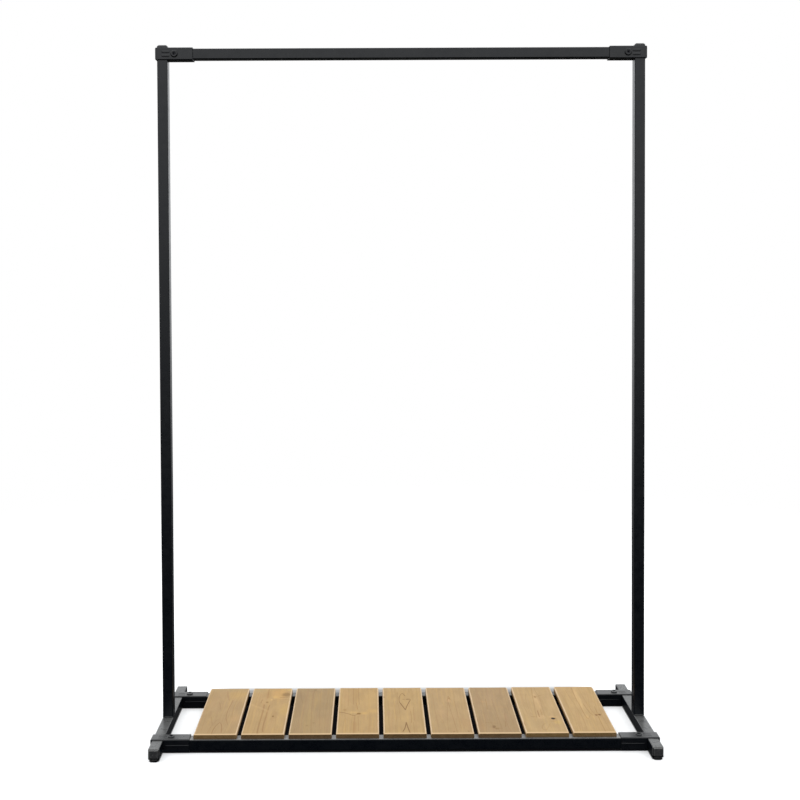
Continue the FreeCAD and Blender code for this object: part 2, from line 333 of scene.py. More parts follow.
def bare_metal(name, base, rough, seed):
    mat = bpy.data.materials.new(name)
    t = Tree(mat)
    pos, x, y, z = t.xyz()
    cloud = t.noise(pos, 0.35, 4.0, 0.6)
    fine = t.noise(pos, 2.4, 2.0, 0.5)
    col = t.mix(t.step(cloud, 0.35, 0.65), base, tuple(c * 0.7 for c in base))
    r = t.linear(t.add(t.mul(cloud, 0.5), t.mul(fine, 0.5)), 0.25, 0.75, rough - 0.08, rough + 0.1)
    nrm = t.bump(fine, 0.12, 0.0001)
    t.principled(col, r, nrm, Metallic=1.0)
    return mat


STEEL = powder_coat("powder_coat", (0.0010, 0.0020, 0.0038), (0.0022, 0.0032, 0.0050), 0.29, 0.07, 1,
                    dust_and_sheen=(0.094, 0.094, 0.091))
CAST = powder_coat("cast_coat", (0.0016, 0.0024, 0.0040), (0.0036, 0.0044, 0.0060), 0.31, 0.20, 2, spec=0.40, wear=0.80,
                   dust_and_sheen=(0.040, 0.040, 0.039))
# a lit copy of the coat for the front shelf rail: its top faces are lightened much more, a painted sheen
RAIL_PAINTED_SHEEN = powder_coat("rail_coat_painted_sheen", (0.0010, 0.0020, 0.0038), (0.0022, 0.0032, 0.0050), 0.29, 0.07, 5,
                   dust_and_sheen=(0.200, 0.194, 0.184))
WELD_MAT = powder_coat("weld_coat", (0.0024, 0.0030, 0.0038), (0.0060, 0.0062, 0.0066), 0.40, 0.26, 3, wear=0.5)
PLASTIC = moulded_plastic("satin_plastic", (0.008, 0.008, 0.009), 0.42, 1)
OXIDE = bare_metal("black_oxide", (0.030, 0.030, 0.034), 0.45, 1)
ZINC = bare_metal("zinc_plate", (0.62, 0.62, 0.60), 0.34, 2)


def dress(obj, mat):
    me = obj.data
    me.materials.clear()
    me.materials.append(mat)


SLOT_OF = {e["node"]: e["material_slot"] for e in frame["record"]["subparts"]}
MAT_OF = {"powder_coated_steel": STEEL, "cast_clamp": CAST, "black_plastic": PLASTIC,
          "blackened_screw": OXIDE, "zinc_screw": ZINC, "weld": WELD_MAT}


def body_of_node(node):
    for body, nodes in frame["record"]["behaviour"]["bodies"].items():
        if node in nodes:
            return body
    return "frame"


for node, obj in frame["nodes"].items():
    # the front shelf rail takes the copy with the painted sheen on its top
    m = RAIL_PAINTED_SHEEN if node == "front_shelf_rail" else MAT_OF.get(SLOT_OF.get(node))
    if m is not None:
        dress(obj, m)


# ---------------------------------------------------------------------------
# Cast clamps and moulded caps: softened from their nodes' own shape
# ---------------------------------------------------------------------------
def softened(node, new_name, voxel, rounds, faces, mat):
    """A copy of a node's mesh with the soft edges of a casting or moulding."""
    src = frame["nodes"][node]
    me = src.data.copy()
    me.name = new_name
    obj = bpy.data.objects.new(new_name, me)
    scene.collection.objects.link(obj)
    bm = bmesh.new()
    bm.from_mesh(me)
    bmesh.ops.remove_doubles(bm, verts=bm.verts, dist=2e-6)
    bm.to_mesh(me)
    bm.free()
    bpy.context.view_layer.objects.active = obj
    for o in bpy.context.selected_objects:
        o.select_set(False)
    obj.select_set(True)
    rm = obj.modifiers.new("remesh", 'REMESH')
    rm.mode = 'VOXEL'
    rm.voxel_size = voxel
    rm.adaptivity = 0.0
    sm = obj.modifiers.new("soften", 'SMOOTH')
    sm.factor = 0.5
    sm.iterations = rounds
    dm = obj.modifiers.new("lighten", 'DECIMATE')
    dm.decimate_type = 'COLLAPSE'
    deps = bpy.context.evaluated_depsgraph_get()
    dm.ratio = 1.0
    deps.update()
    n = len(obj.evaluated_get(deps).data.polygons)
    dm.ratio = min(1.0, faces / max(1, 2 * n))
    deps.update()
    baked = bpy.data.meshes.new_from_object(obj.evaluated_get(deps))
    obj.modifiers.clear()
    obj.data = baked
    baked.name = new_name
    for p in baked.polygons:
        p.use_smooth = True
    dress(obj, mat)
    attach(obj, body_of_node(node))
    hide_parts(node)
    return obj


for side in ("left", "right"):
    for place in ("top", "front", "rear"):
        node = "%s_%s_clamp" % (place, side)
        softened(node, node + "_casting", 0.0005, 4, 16000, CAST)
    softened(side + "_upright_cap", side + "_upright_cap_moulding", 0.0004, 3, 9000, PLASTIC)
    for end in ("front", "rear"):
        node = "%s_%s_foot_cap" % (end, side)
        softened(node, node + "_moulding", 0.0004, 3, 9000, PLASTIC)


# ---------------------------------------------------------------------------
# Weld beads, with the ripples of a hand-run bead
# ---------------------------------------------------------------------------
def weld_bead(node):
    lo, hi = coords(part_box(node))
    name = node + "_rippled"
    rng = random.Random(sum(ord(c) for c in node))
    verts, faces = [], []
    leg = 3.0 * MM
    for s in (-1, 1):
        base = len(verts)
        x0, x1 = lo[0] + 0.0002, hi[0] - 0.0002
        n = 64
        ring = 9
        ycorner = s * 0.0125
        zc = lo[2]
        phase = rng.random() * 6.28
        for i in range(n + 1):
            u = i / n
            x = x0 + (x1 - x0) * u
            fade = min(1.0, 6.0 * u + 0.25, 6.0 * (1 - u) + 0.25)
            rip = abs(math.sin(phase + u * math.pi * 9.5))
            size = leg * (0.72 + 0.20 * rip ** 0.6) * fade + rng.uniform(-1, 1) * 0.00004
            for k in range(ring):
                a = math.pi / 2 * k / (ring - 1)
                bulge = 0.80 + 0.17 * math.sin(2 * a)
                yy = ycorner + s * size * math.cos(a) * bulge / 0.80 * 0.98
                zz = zc + size * math.sin(a) * bulge / 0.80 * 0.98
                verts.append((x - 0.0007 * math.sin(2 * a) * (1 - rip), yy, zz))
            verts.append((x, ycorner, zc))
        row = ring + 1
        for i in range(n):
            for k in range(row):
                a0 = base + i * row + k
                a1 = base + i * row + (k + 1) % row
                b0, b1 = a0 + row, a1 + row
                faces.append((a0, a1, b1, b0) if s > 0 else (a0, b0, b1, a1))
        first = [base + k for k in range(row)]
        last = [base + n * row + k for k in range(row)]
        faces.append(tuple(reversed(first)) if s > 0 else tuple(first))
        faces.append(tuple(last) if s > 0 else tuple(reversed(last)))
    me = bpy.data.meshes.new(name)
    me.from_pydata(verts, [], faces)
    me.validate()
    bm = bmesh.new()
    bm.from_mesh(me)
    bmesh.ops.recalc_face_normals(bm, faces=bm.faces)
    bm.to_mesh(me)
    bm.free()
    for p in me.polygons:
        p.use_smooth = len(p.vertices) == 4
    obj = bpy.data.objects.new(name, me)
    scene.collection.objects.link(obj)
    dress(obj, WELD_MAT)
    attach(obj, body_of_node(node))
    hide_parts(node)


for side in ("left", "right"):
    weld_bead(side + "_weld_bead")


# ---------------------------------------------------------------------------
# Boards
# ---------------------------------------------------------------------------
# Board colours are given as sRGB triples; lin() makes them shader colours, and
# WOOD_GAIN allows for the studio's brightness.
WOOD_GAIN = 0.665


def lin(c, gain=None):
    k = WOOD_GAIN if gain is None else gain
    out = []
    for v in c:
        v = v / 255.0
        out.append(k * (v / 12.92 if v <= 0.04045 else ((v + 0.055) / 1.055) ** 2.4))
    return tuple(c * g for c, g in zip(out, (1.0, 0.960, 0.842)))


# Figure of each board, in millimetres from the board's middle: x to the right,
# y from the front edge (-133) to the rear (+133).
#   tone      body colour
#   patches   (x, y, rx, ry, softness, strength, colour)
#   lines     (points (y, x) along the grain, width, strength, colour)
#   cross     (points (x, y) across the grain, width, strength, colour)
#   knots     (x, y, rx, ry, strength, colour)
DARK = (126, 88, 44)
BROWN = (150, 108, 62)
ROSY = (168, 130, 96)
PALE = (226, 190, 138)
GOLD = (222, 178, 108)
BOARDS = {
    1: dict(tone=(188, 159, 118), px=-30, pz=-60, sx=0.035, gap=4.0, contrast=0.34,
            patches=[(26, 92, 27, 36, 0.8, 0.62, (203, 168, 110)), (0, 122, 60, 16, 0.8, 0.35, (190, 168, 128)),
                     (-30, -105, 26, 30, 0.8, 0.35, (178, 149, 110)), (34, -45, 16, 30, 0.8, 0.45, (200, 163, 118)),
                     (0, -30, 60, 14, 0.9, 0.25, (178, 151, 108))],
            lines=[([(58, 7), (75, 3), (92, -1), (120, -5)], 3.4, 0.42, ROSY),
                   ([(6, -7), (25, -10), (48, -16)], 1.3, 0.40, BROWN),
                   ([(-80, 22), (-58, 17), (-40, 13), (-10, 11.5), (20, 13), (40, 15), (62, 16)], 1.4, 0.50, BROWN),
                   ([(-82, -14), (-60, -18), (-36, -23)], 1.2, 0.38, BROWN),
                   ([(-133, -8), (-112, -8), (-95, -6), (-80, -3), (-68, 2)], 1.6, 0.62, BROWN),
                   ([(-124, 13), (-105, 11.5), (-90, 9.5), (-78, 7), (-68, 2)], 1.6, 0.62, BROWN),
                   ([(-133, -19), (-95, -16), (-62, -9), (-46, -2)], 1.2, 0.25, BROWN),
                   ([(-50, 30), (10, 24), (60, 27)], 1.2, 0.22, BROWN),
                   ([(-120, -34), (0, -38), (120, -40)], 1.4, 0.20, BROWN)],
            cross=[], knots=[]),
    2: dict(tone=(194, 163, 117), px=20, pz=-70, sx=-0.02, gap=4.4, contrast=0.30,
            patches=[(20, 98, 24, 38, 0.60, 0.70, (210, 168, 108)), (10, 78, 9, 11, 0.9, 0.60, (222, 184, 118)),
                     (2.5, 62, 3.2, 6, 0.8, 0.60, (228, 190, 128)), (40, 2, 16, 42, 0.8, 0.55, (210, 176, 112)),
                     (44, 122, 12, 8, 0.8, 0.45, (216, 188, 120)), (37, 93, 14, 15, 0.70, 0.85, (150, 118, 76)),
                     (-34, 118, 24, 16, 0.8, 0.40, (188, 168, 130)), (-25, -90, 26, 44, 0.8, 0.30, (184, 155, 112)),
                     (-7, 92, 8, 30, 0.8, 0.50, (176, 138, 90))],
            lines=[([(-133, -12), (-90, -13.5), (-40, -12.5), (0, -12), (34, -13)], 3.0, 0.50, BROWN),
                   ([(-120, 0), (-85, -3), (-40, -1.5), (0, -1), (30, 1)], 2.8, 0.48, BROWN),
                   ([(40, -22), (52, -21.5), (64, -20)], 1.8, 0.55, BROWN),
                   ([(70, -8), (90, -9), (126, -10)], 1.8, 0.40, BROWN),
                   ([(-60, -38), (0, -36), (110, -33)], 1.3, 0.18, BROWN),
                   ([(-133, 26), (-70, 24), (-10, 20)], 1.3, 0.20, BROWN)],
            cross=[([(-46, 34), (-28, 20), (-8, 2), (2, -8)], 9.0, 0.20, PALE),
                   ([(22, 77), (30, 75.5), (44, 78)], 1.6, 0.75, DARK),
                   ([(6, 57), (22, 62), (44, 64)], 1.8, 0.30, BROWN)],
            knots=[(-7, 47, 3.4, 5.0, 0.60, (140, 104, 54)), (15, -35, 2.6, 4.6, 0.75, (128, 88, 28))]),
    3: dict(tone=(175, 149, 111), px=60, pz=-30, sx=0.01, gap=3.4, contrast=0.30,
            patches=[(-40, 50, 16, 90, 0.7, 0.60, (162, 137, 104)), (-44, -40, 16, 90, 0.7, 0.40, (168, 141, 107)),
                     (-8, -50, 16, 80, 0.8, 0.50, (181, 154, 108)), (22, -80, 22, 50, 0.8, 0.45, (184, 154, 112)),
                     (-40, 90, 18, 30, 0.8, 0.35, (160, 134, 104)), (34, 80, 18, 50, 0.8, 0.40, (166, 142, 108)),
                     (0, 122, 60, 14, 0.8, 0.30, (170, 150, 121))],
            lines=[([(-120, -22), (-30, -24), (60, -21), (130, -19)], 2.4, 0.28, ROSY),
                   ([(-133, 2), (-40, -2), (60, -5), (120, -3)], 1.4, 0.26, BROWN),
                   ([(-90, 20), (0, 16), (100, 14)], 1.3, 0.20, BROWN),
                   ([(-133, 34), (0, 31), (130, 33)], 1.3, 0.20, BROWN),
                   ([(40, -28), (70, -33), (120, -38)], 1.6, 0.24, DARK)],
            cross=[([(-20, 118), (0, 112), (14, 118)], 3.0, 0.18, BROWN)],
            knots=[(-1, 121, 4.0, 5.0, 0.40, (134, 112, 78)), (-10, -87, 3.0, 4.0, 0.30, (146, 112, 62)),
                   (5, -72, 2.6, 4.0, 0.22, (146, 112, 62))]),
    4: dict(tone=(194, 163, 116), px=6, pz=-58, sx=0.0, gap=4.2, contrast=0.32,
            patches=[(-7, 92, 8, 60, 0.7, 0.55, (180, 146, 98)), (-12, -15, 14, 7, 0.8, 0.65, (216, 180, 120)),
                     (15, -20, 12, 10, 0.9, 0.55, (218, 180, 112)), (36, -8, 20, 16, 0.9, 0.50, (214, 176, 112)),
                     (24, 60, 24, 60, 0.8, 0.40, (206, 172, 118)), (-36, 50, 12, 30, 0.8, 0.30, (204, 170, 122)),
                     (0, -75, 60, 36, 0.9, 0.25, (184, 153, 108)), (-7, -100, 6, 50, 0.8, 0.50, (176, 138, 92))],
            lines=[([(0, -1.5), (20, -3.5), (42, -6)], 1.5, 0.50, BROWN),
                   ([(-133, -9), (-90, -9.5), (-60, -9), (-34, -8)], 2.4, 0.30, BROWN),
                   ([(-120, 2), (-70, 1), (-36, 0)], 1.6, 0.32, BROWN),
                   ([(30, 2), (80, 0), (133, -1)], 1.5, 0.40, BROWN),
                   ([(30, -12), (80, -13.5), (133, -14)], 1.4, 0.40, BROWN),
                   ([(20, -24), (133, -26)], 1.3, 0.24, BROWN), ([(-120, -28), (-45, -30)], 1.3, 0.22, BROWN),
                   ([(-133, 24), (-40, 26), (133, 22)], 1.3, 0.16, BROWN)],
            cross=[([(-49, -14), (-38, -16), (-30, -20), (-20, -26), (-10, -32), (-3, -27), (3, -22)], 2.6, 0.70, DARK)],
            knots=[(1.5, -23, 5.0, 4.6, 0.85, (132, 92, 30)), (-33, 0, 5.0, 6.5, 0.35, (150, 112, 54))]),
    5: dict(tone=(193, 163, 117), px=4, pz=-40, sx=0.0, gap=4.8, contrast=0.36,
            patches=[(5, -50, 12, 26, 0.8, 0.45, (206, 174, 124)), (6, 42, 9, 26, 0.6, 0.40, (208, 176, 120)),
                     (0, -88, 60, 40, 0.9, 0.40, (180, 151, 110)), (20, 8, 20, 40, 0.9, 0.30, (206, 174, 124)),
                     (0, 120, 60, 16, 0.9, 0.35, (202, 174, 132)), (-36, -24, 6, 20, 0.9, 0.35, (194, 156, 126))],
            lines=[([(-2, 5), (12, 1), (25, -3), (40, -7)], 2.0, 0.95, DARK),
                   ([(38, -7), (52, -9), (68, -8.5), (84, -6), (99, 0)], 1.3, 0.70, DARK),
                   ([(80, 7), (90, 3.5), (99, 0)], 1.8, 0.70, DARK),
                   ([(-2, 5), (12, 7.5), (25, 10), (40, 14), (58, 19)], 1.8, 0.90, DARK),
                   ([(-122, -5), (-105, 0), (-90, 2.5), (-72, 4.5)], 1.9, 0.90, DARK),
                   ([(-133, 12), (-115, 9.5), (-95, 7), (-72, 4.5)], 1.9, 0.90, DARK),
                   ([(-60, -9), (0, -10), (60, -13), (110, -9)], 1.2, 0.30, BROWN),
                   ([(-75, 17), (-40, 17.5), (-8, 17)], 1.3, 0.45, BROWN), ([(-60, 24), (-20, 24), (14, 25)], 1.2, 0.35, BROWN),
                   ([(-70, -18), (0, -20), (60, -24)], 1.2, 0.24, BROWN), ([(100, 17), (126, 16)], 1.3, 0.35, BROWN),
                   ([(-133, 22), (-70, 21)], 1.2, 0.30, BROWN), ([(-133, -22), (-80, -20)], 1.2, 0.24, BROWN)],
            cross=[([(8, 59), (13, 62), (19, 61)], 3.4, 0.90, DARK), ([(-1, 61), (2, 61.5), (5, 60)], 3.0, 0.65, DARK)],
            knots=[(-47.5, 75, 2.6, 5.0, 0.85, (104, 66, 34))]),
    6: dict(tone=(189, 160, 119), px=-24, pz=-80, sx=0.02, gap=4.2, contrast=0.28,
            patches=[(-34, 40, 14, 70, 0.8, 0.30, (182, 156, 116)), (4, 52, 5, 14, 0.7, 0.45, (212, 170, 128)),
                     (20, 70, 18, 40, 0.9, 0.40, (200, 170, 127)), (-18, -20, 14, 50, 0.9, 0.30, (196, 162, 124)),
                     (0, -90, 60, 40, 0.9, 0.40, (181, 153, 111)), (34, -80, 14, 40, 0.8, 0.35, (186, 150, 106))],
            lines=[([(54, 1), (66, 2.5), (80, 5)], 1.4, 0.50, BROWN), ([(54, 8), (66, 7.5), (80, 5)], 1.4, 0.50, BROWN),
                   ([(-133, 11), (-100, 10), (-60, 8), (-10, 5), (30, 3), (56, 1)], 1.3, 0.42, BROWN),
                   ([(-120, -8), (-60, -7), (0, -2), (40, 0)], 1.2, 0.28, BROWN),
                   ([(-110, 22), (-20, 20), (60, 17)], 1.2, 0.22, BROWN), ([(-100, -30), (0, -33), (100, -34)], 1.3, 0.20, BROWN)],
            cross=[], knots=[(5.5, 66, 1.8, 5.0, 0.50, (150, 112, 62)), (4, -123, 2.4, 4.0, 0.30, (140, 104, 60)),
                             (38, -122, 2.0, 4.0, 0.35, (136, 104, 58))]),
    7: dict(tone=(178, 151, 115), px=34, pz=-60, sx=-0.01, gap=3.6, contrast=0.30,
            patches=[(2, 60, 18, 60, 0.9, 0.45, (187, 158, 124)), (0, -85, 60, 36, 0.9, 0.55, (171, 145, 108)),
                     (-40, -90, 12, 40, 0.8, 0.40, (174, 136, 98)), (-40, 100, 14, 40, 0.8, 0.25, (172, 148, 114)),
                     (-20, 44, 9, 8, 0.8, 0.35, (198, 160, 118)), (20, 14, 12, 10, 0.8, 0.30, (194, 160, 116))],
            lines=[([(0, -15), (30, -14), (62, -13)], 1.3, 0.45, BROWN), ([(-133, -30), (-40, -26), (60, -24)], 1.3, 0.22, BROWN),
                   ([(-110, 8), (-20, 4), (60, 2)], 1.3, 0.24, BROWN), ([(-120, 26), (-70, 22), (-20, 24)], 1.2, 0.30, BROWN),
                   ([(-120, 38), (0, 36), (110, 38)], 1.2, 0.20, BROWN), ([(-100, 16), (-78, 19), (-66, 19)], 1.6, 0.45, BROWN)],
            cross=[([(-28, -75), (-14, -77), (0, -80)], 2.2, 0.35, BROWN), ([(-10, -108), (0, -106), (8, -108)], 2.4, 0.35, BROWN)],
            knots=[(-10, -98, 4.2, 8.0, 0.60, (122, 88, 50)), (-4, -108, 4.5, 5.0, 0.35, (130, 98, 60))]),
    8: dict(tone=(197, 168, 125), px=-4, pz=-46, sx=0.02, gap=4.8, contrast=0.34,
            patches=[(1, 30, 8, 80, 0.6, 0.55, (216, 182, 136)), (22, 60, 10, 80, 0.7, 0.50, (191, 161, 118)),
                     (34, 30, 8, 50, 0.8, 0.40, (208, 176, 134)), (-2, -46, 12, 12, 0.6, 0.55, (218, 184, 140)),
                     (25.5, -48, 12, 9, 0.7, 0.55, (222, 186, 138)), (33, -76, 12, 14, 0.8, 0.55, (214, 182, 116)),
                     (-12, -85, 24, 26, 0.9, 0.40, (186, 159, 118)), (20, -95, 16, 16, 0.9, 0.35, (184, 154, 112))],
            lines=[([(60, -4), (90, -2), (110, 0), (133, 1)], 1.5, 0.50, BROWN),
                   ([(84, 12), (104, 9), (133, 9)], 1.4, 0.40, BROWN),
                   ([(-48, -5), (-30, -5), (-10, -4)], 2.2, 0.62, BROWN), ([(-36, 3.5), (-22, 3), (-4, 4)], 1.6, 0.45, BROWN),
                   ([(-52, -12), (-10, -10), (20, -7), (60, -4)], 1.3, 0.42, BROWN),
                   ([(-45, 9), (0, 10), (50, 12), (84, 12)], 1.3, 0.32, BROWN),
                   ([(-30, -22), (20, -24), (90, -18)], 1.2, 0.30, BROWN), ([(-30, -30), (20, -33), (120, -28)], 1.2, 0.24, BROWN),
                   ([(-116, -7), (-104, -8), (-92, -4), (-82, 4)], 1.4, 0.45, BROWN),
                   ([(-114, 0), (-104, 6), (-94, 10), (-82, 14)], 1.3, 0.32, BROWN),
                   ([(-96, -46), (-84, -46.5), (-72, -46)], 2.0, 0.55, (150, 92, 52))],
            cross=[([(-26, -44), (-18, -46), (-10, -47)], 2.6, 0.45, BROWN), ([(3, 71), (12, 76), (22, 83)], 1.8, 0.40, BROWN),
                   ([(-8, -114), (-2, -117), (4, -112)], 1.8, 0.40, BROWN), ([(16, -71), (24, -72), (30, -70)], 2.2, 0.40, (170, 130, 60))],
            knots=[(2, 71, 3.0, 6.0, 0.55, (140, 100, 52)), (25.5, -56, 5.6, 5.6, 1.0, (34, 11, 3))]),
    9: dict(tone=(200, 169, 123), px=-60, pz=-50, sx=0.10, gap=5.0, contrast=0.34,
            patches=[(-2, 60, 7, 80, 0.6, 0.60, (222, 188, 136)), (-42, 20, 14, 120, 0.8, 0.50, (190, 160, 117)),
                     (36, 80, 14, 60, 0.8, 0.40, (198, 166, 116)), (18, -28, 16, 16, 0.9, 0.45, (190, 158, 112)),
                     (34, -100, 20, 30, 0.9, 0.40, (190, 158, 114)), (0, -50, 6, 16, 0.8, 0.45, (222, 184, 132))],
            lines=[([(-60, 0), (-50, -3), (-20, -5), (20, -5.5), (60, -7), (130, -5)], 1.6, 0.50, BROWN),
                   ([(-60, 0), (-52, 3), (-40, 8)], 1.4, 0.40, BROWN),
                   ([(-40, 14), (-10, 8), (30, 5)], 1.5, 0.45, BROWN),
                   ([(-30, 21), (0, 16), (60, 13), (126, 11)], 1.3, 0.28, BROWN),
                   ([(-28, 27.5), (-8, 28), (12, 28.5)], 1.3, 0.45, BROWN), ([(-130, 25), (-90, 25), (-44, 26)], 1.8, 0.42, BROWN),
                   ([(-126, 38), (-60, 36), (40, 42)], 1.2, 0.28, BROWN), ([(-120, -16), (-60, -13), (20, -17), (110, -24)], 1.2, 0.26, BROWN),
                   ([(-120, -30), (0, -34), (100, -40)], 1.2, 0.20, BROWN)],
            cross=[([(20, -38), (26, -36.5), (34, -36)], 2.4, 0.60, (130, 86, 40))],
            knots=[(23, -38, 3.2, 5.0, 0.70, (126, 80, 34)), (31, -36.5, 3.4, 5.0, 0.80, (120, 74, 30))]),
}


def wood(name, i, spec, centre, end, half_w, half_l):
    """Planed softwood: growth rings, fibres, figure lines, knots, eased edges that are pale from wear and a painted
    highlight, painted shade on the sides and the foot of the end faces.
    """
    mat = bpy.data.materials.new(name)
    t = Tree(mat)
    pos, gx, gy, gz = t.xyz()
    x = t.sub(gx, centre[0] * 1000)
    y = t.sub(gy, centre[1] * 1000)
    z = t.sub(gz, centre[2] * 1000)
    seed = i * 37.0
    warp_in = t.vec(t.add(t.mul(x, 0.030), seed), t.mul(y, 0.007), t.mul(z, 0.03))
    warp = t.mul(t.sub(t.noise(warp_in, 1.0, 3.0, 0.5), 0.5), 12.0)
    x0 = t.muladd(y, spec["sx"], float(spec["px"]))
    dx = t.sub(x, x0)
    dz = t.sub(z, float(spec["pz"]))
    r = t.add(t.sqrt(t.add(t.mul(dx, dx), t.mul(dz, dz))), warp)
    u = t.div(r, float(spec["gap"]))
    u = t.add(u, t.mul(t.noise(t.vec(t.mul(r, 0.06), seed, 0.0), 1.0, 2.0, 0.5), 2.4))
    f = t.frac(u)
    late = t.mul(t.step(f, 0.30, 0.93), t.step(f, 0.93, 1.0, 1.0, 0.0))
    amount = t.noise(t.vec(t.mul(t.math('FLOOR', u), 0.61), seed, t.mul(y, 0.006)), 1.0, 1.0, 0.5)
    late = t.mul(late, t.step(amount, 0.36, 0.70, 0.12, 1.0))
    fib = t.noise(t.vec(t.mul(x, 1.25), t.mul(y, 0.035), t.add(t.mul(z, 1.25), seed)), 1.0, 4.0, 0.62)
    fine = t.noise(t.vec(t.mul(x, 4.0), t.mul(y, 0.10), t.add(t.mul(z, 4.0), seed)), 1.0, 2.0, 0.6)
    streak = t.noise(t.vec(t.mul(x, 0.17), t.mul(y, 0.006), t.add(t.mul(z, 0.1), seed)), 1.0, 3.0, 0.6)
    blotch = t.noise(t.vec(t.mul(x, 0.045), t.mul(y, 0.022), seed), 1.0, 3.0, 0.55)
    wob = t.mul(t.sub(t.noise(t.vec(t.mul(x, 0.16), t.mul(y, 0.10), seed + 3.0), 1.0, 3.0, 0.55), 0.5), 2.0)
    wander = t.mul(t.sub(t.noise(t.vec(seed, t.mul(y, 0.05), t.mul(x, 0.04)), 1.0, 2.0, 0.5), 0.5), 3.0)

    tone = lin(spec["tone"])
    other = tuple(c * k for c, k in zip(tone, (0.905, 0.895, 0.895)))
    col = t.mix(t.step(blotch, 0.36, 0.64), tone, other)
    golden = tuple(c * k for c, k in zip(tone, (1.10, 1.06, 0.92)))
    col = t.mix(t.step(streak, 0.50, 0.68, 0.0, 0.65), col, golden)
    rosy = tuple(c * k for c, k in zip(tone, (0.955, 0.88, 0.90)))
    col = t.mix(t.step(streak, 0.50, 0.34, 0.0, 0.60), col, rosy)
    for px_, py_, rx, ry, soft, amt, colour in spec["patches"]:
        a = t.div(t.sub(x, float(px_)), float(rx))
        b = t.div(t.sub(y, float(py_)), float(ry))
        d = t.add(t.sqrt(t.add(t.mul(a, a), t.mul(b, b))), t.mul(wob, 0.22))
        col = t.mix(t.step(d, 1.0 - soft, 1.0 + 0.3 * soft, amt, 0.0), col, lin(colour))
    ringcol = tuple(c * k for c, k in zip(tone, (0.76, 0.70, 0.58)))
    col = t.mix(t.mul(late, 1.35 * spec["contrast"]), col, ringcol)
    shade = t.add(t.linear(fib, 0.25, 0.75, 0.915, 1.085), t.linear(fine, 0.25, 0.75, -0.035, 0.035))
    col = t.scale_rgb(col, shade)
    duct = t.noise(t.vec(t.mul(x, 1.9), t.mul(y, 0.075), t.add(t.mul(z, 1.9), seed + 5.0)), 1.0, 1.0, 0.5)
    col = t.mix(t.step(duct, 0.69, 0.80, 0.0, 0.35), col, tuple(c * 0.55 for c in tone))

    def line(points, width, amt, colour, along, across, col):
        a0, a1 = float(points[0][0]), float(points[-1][0])
        cs = [p[1] for p in points]
        c0, c1 = min(cs) - 1.0, max(cs) + 1.0
        fc = t.node("ShaderNodeFloatCurve")
        curve = fc.mapping.curves[0]
        pts = [((p[0] - a0) / (a1 - a0), (p[1] - c0) / (c1 - c0)) for p in points]
        while len(curve.points) < len(pts):
            curve.points.new(0.5, 0.5)
        for cp, q in zip(curve.points, pts):
            cp.location = q
        fc.mapping.update()
        t.link(t.linear(along, a0, a1), fc.inputs["Value"])
        mid = t.linear(fc.outputs[0], 0.0, 1.0, c0, c1)
        d = t.math('ABSOLUTE', t.add(t.sub(across, mid), t.mul(wander, 0.22)))
        body = t.step(d, 0.25 * width, 0.95 * width, 1.0, 0.0)
        run = t.mul(t.step(along, a0 - 2.5, a0 + 3.0), t.step(along, a1 + 2.5, a1 - 3.0))
        m = t.mul(t.mul(body, run), t.linear(fib, 0.3, 0.7, 0.78 * amt, 1.08 * amt))
        return t.mix(m, col, lin(colour))

    for points, width, amt, colour in spec["lines"]:
        col = line(points, width, amt, colour, y, x, col)
    for points, width, amt, colour in spec["cross"]:
        col = line(points, width, amt, colour, x, y, col)
    pit = None
    for kx, ky, rx, ry, amt, colour in spec["knots"]:
        a = t.div(t.sub(x, float(kx)), float(rx))
        b = t.div(t.sub(y, float(ky)), float(ry))
        d = t.add(t.sqrt(t.add(t.mul(a, a), t.mul(b, b))), t.mul(wob, 0.30))
        halo = t.step(d, 1.0, 2.2, 0.35 * amt, 0.0)
        col = t.mix(halo, col, tuple(c * k for c, k in zip(tone, (0.80, 0.70, 0.55))))
        col = t.mix(t.step(d, 0.62, 1.12, amt, 0.0), col, lin(colour))
    if end:
        pore = t.noise(t.vec(t.mul(x, 1.6), seed, t.mul(z, 1.6)), 1.0, 3.0, 0.6)
        wide = t.noise(t.vec(t.mul(x, 0.07), seed, t.mul(z, 0.12)), 1.0, 2.0, 0.5)
        ecol = t.mix(t.step(wide, 0.35, 0.65), END_TONES[i][0], END_TONES[i][1])
        ecol = t.mix(t.mul(late, 0.65), ecol, tuple(c * 0.45 for c in END_TONES[i][0]))
        ecol = t.scale_rgb(ecol, t.linear(pore, 0.25, 0.75, 0.36, 0.64))
        # painted shade: the end face darkens towards its bottom
        low = t.step(z, -5.5, -9.5)
        ecol = t.mix(t.mul(low, 0.6), ecol, (0.100, 0.066, 0.038))
        # pale top edge of the end face: partly sanded wear, partly a painted highlight on the arris
        crown = t.step(z, -1.5, -0.5)
        col = t.mix(t.mul(crown, 0.9), ecol, lin((232, 200, 160)))
    else:
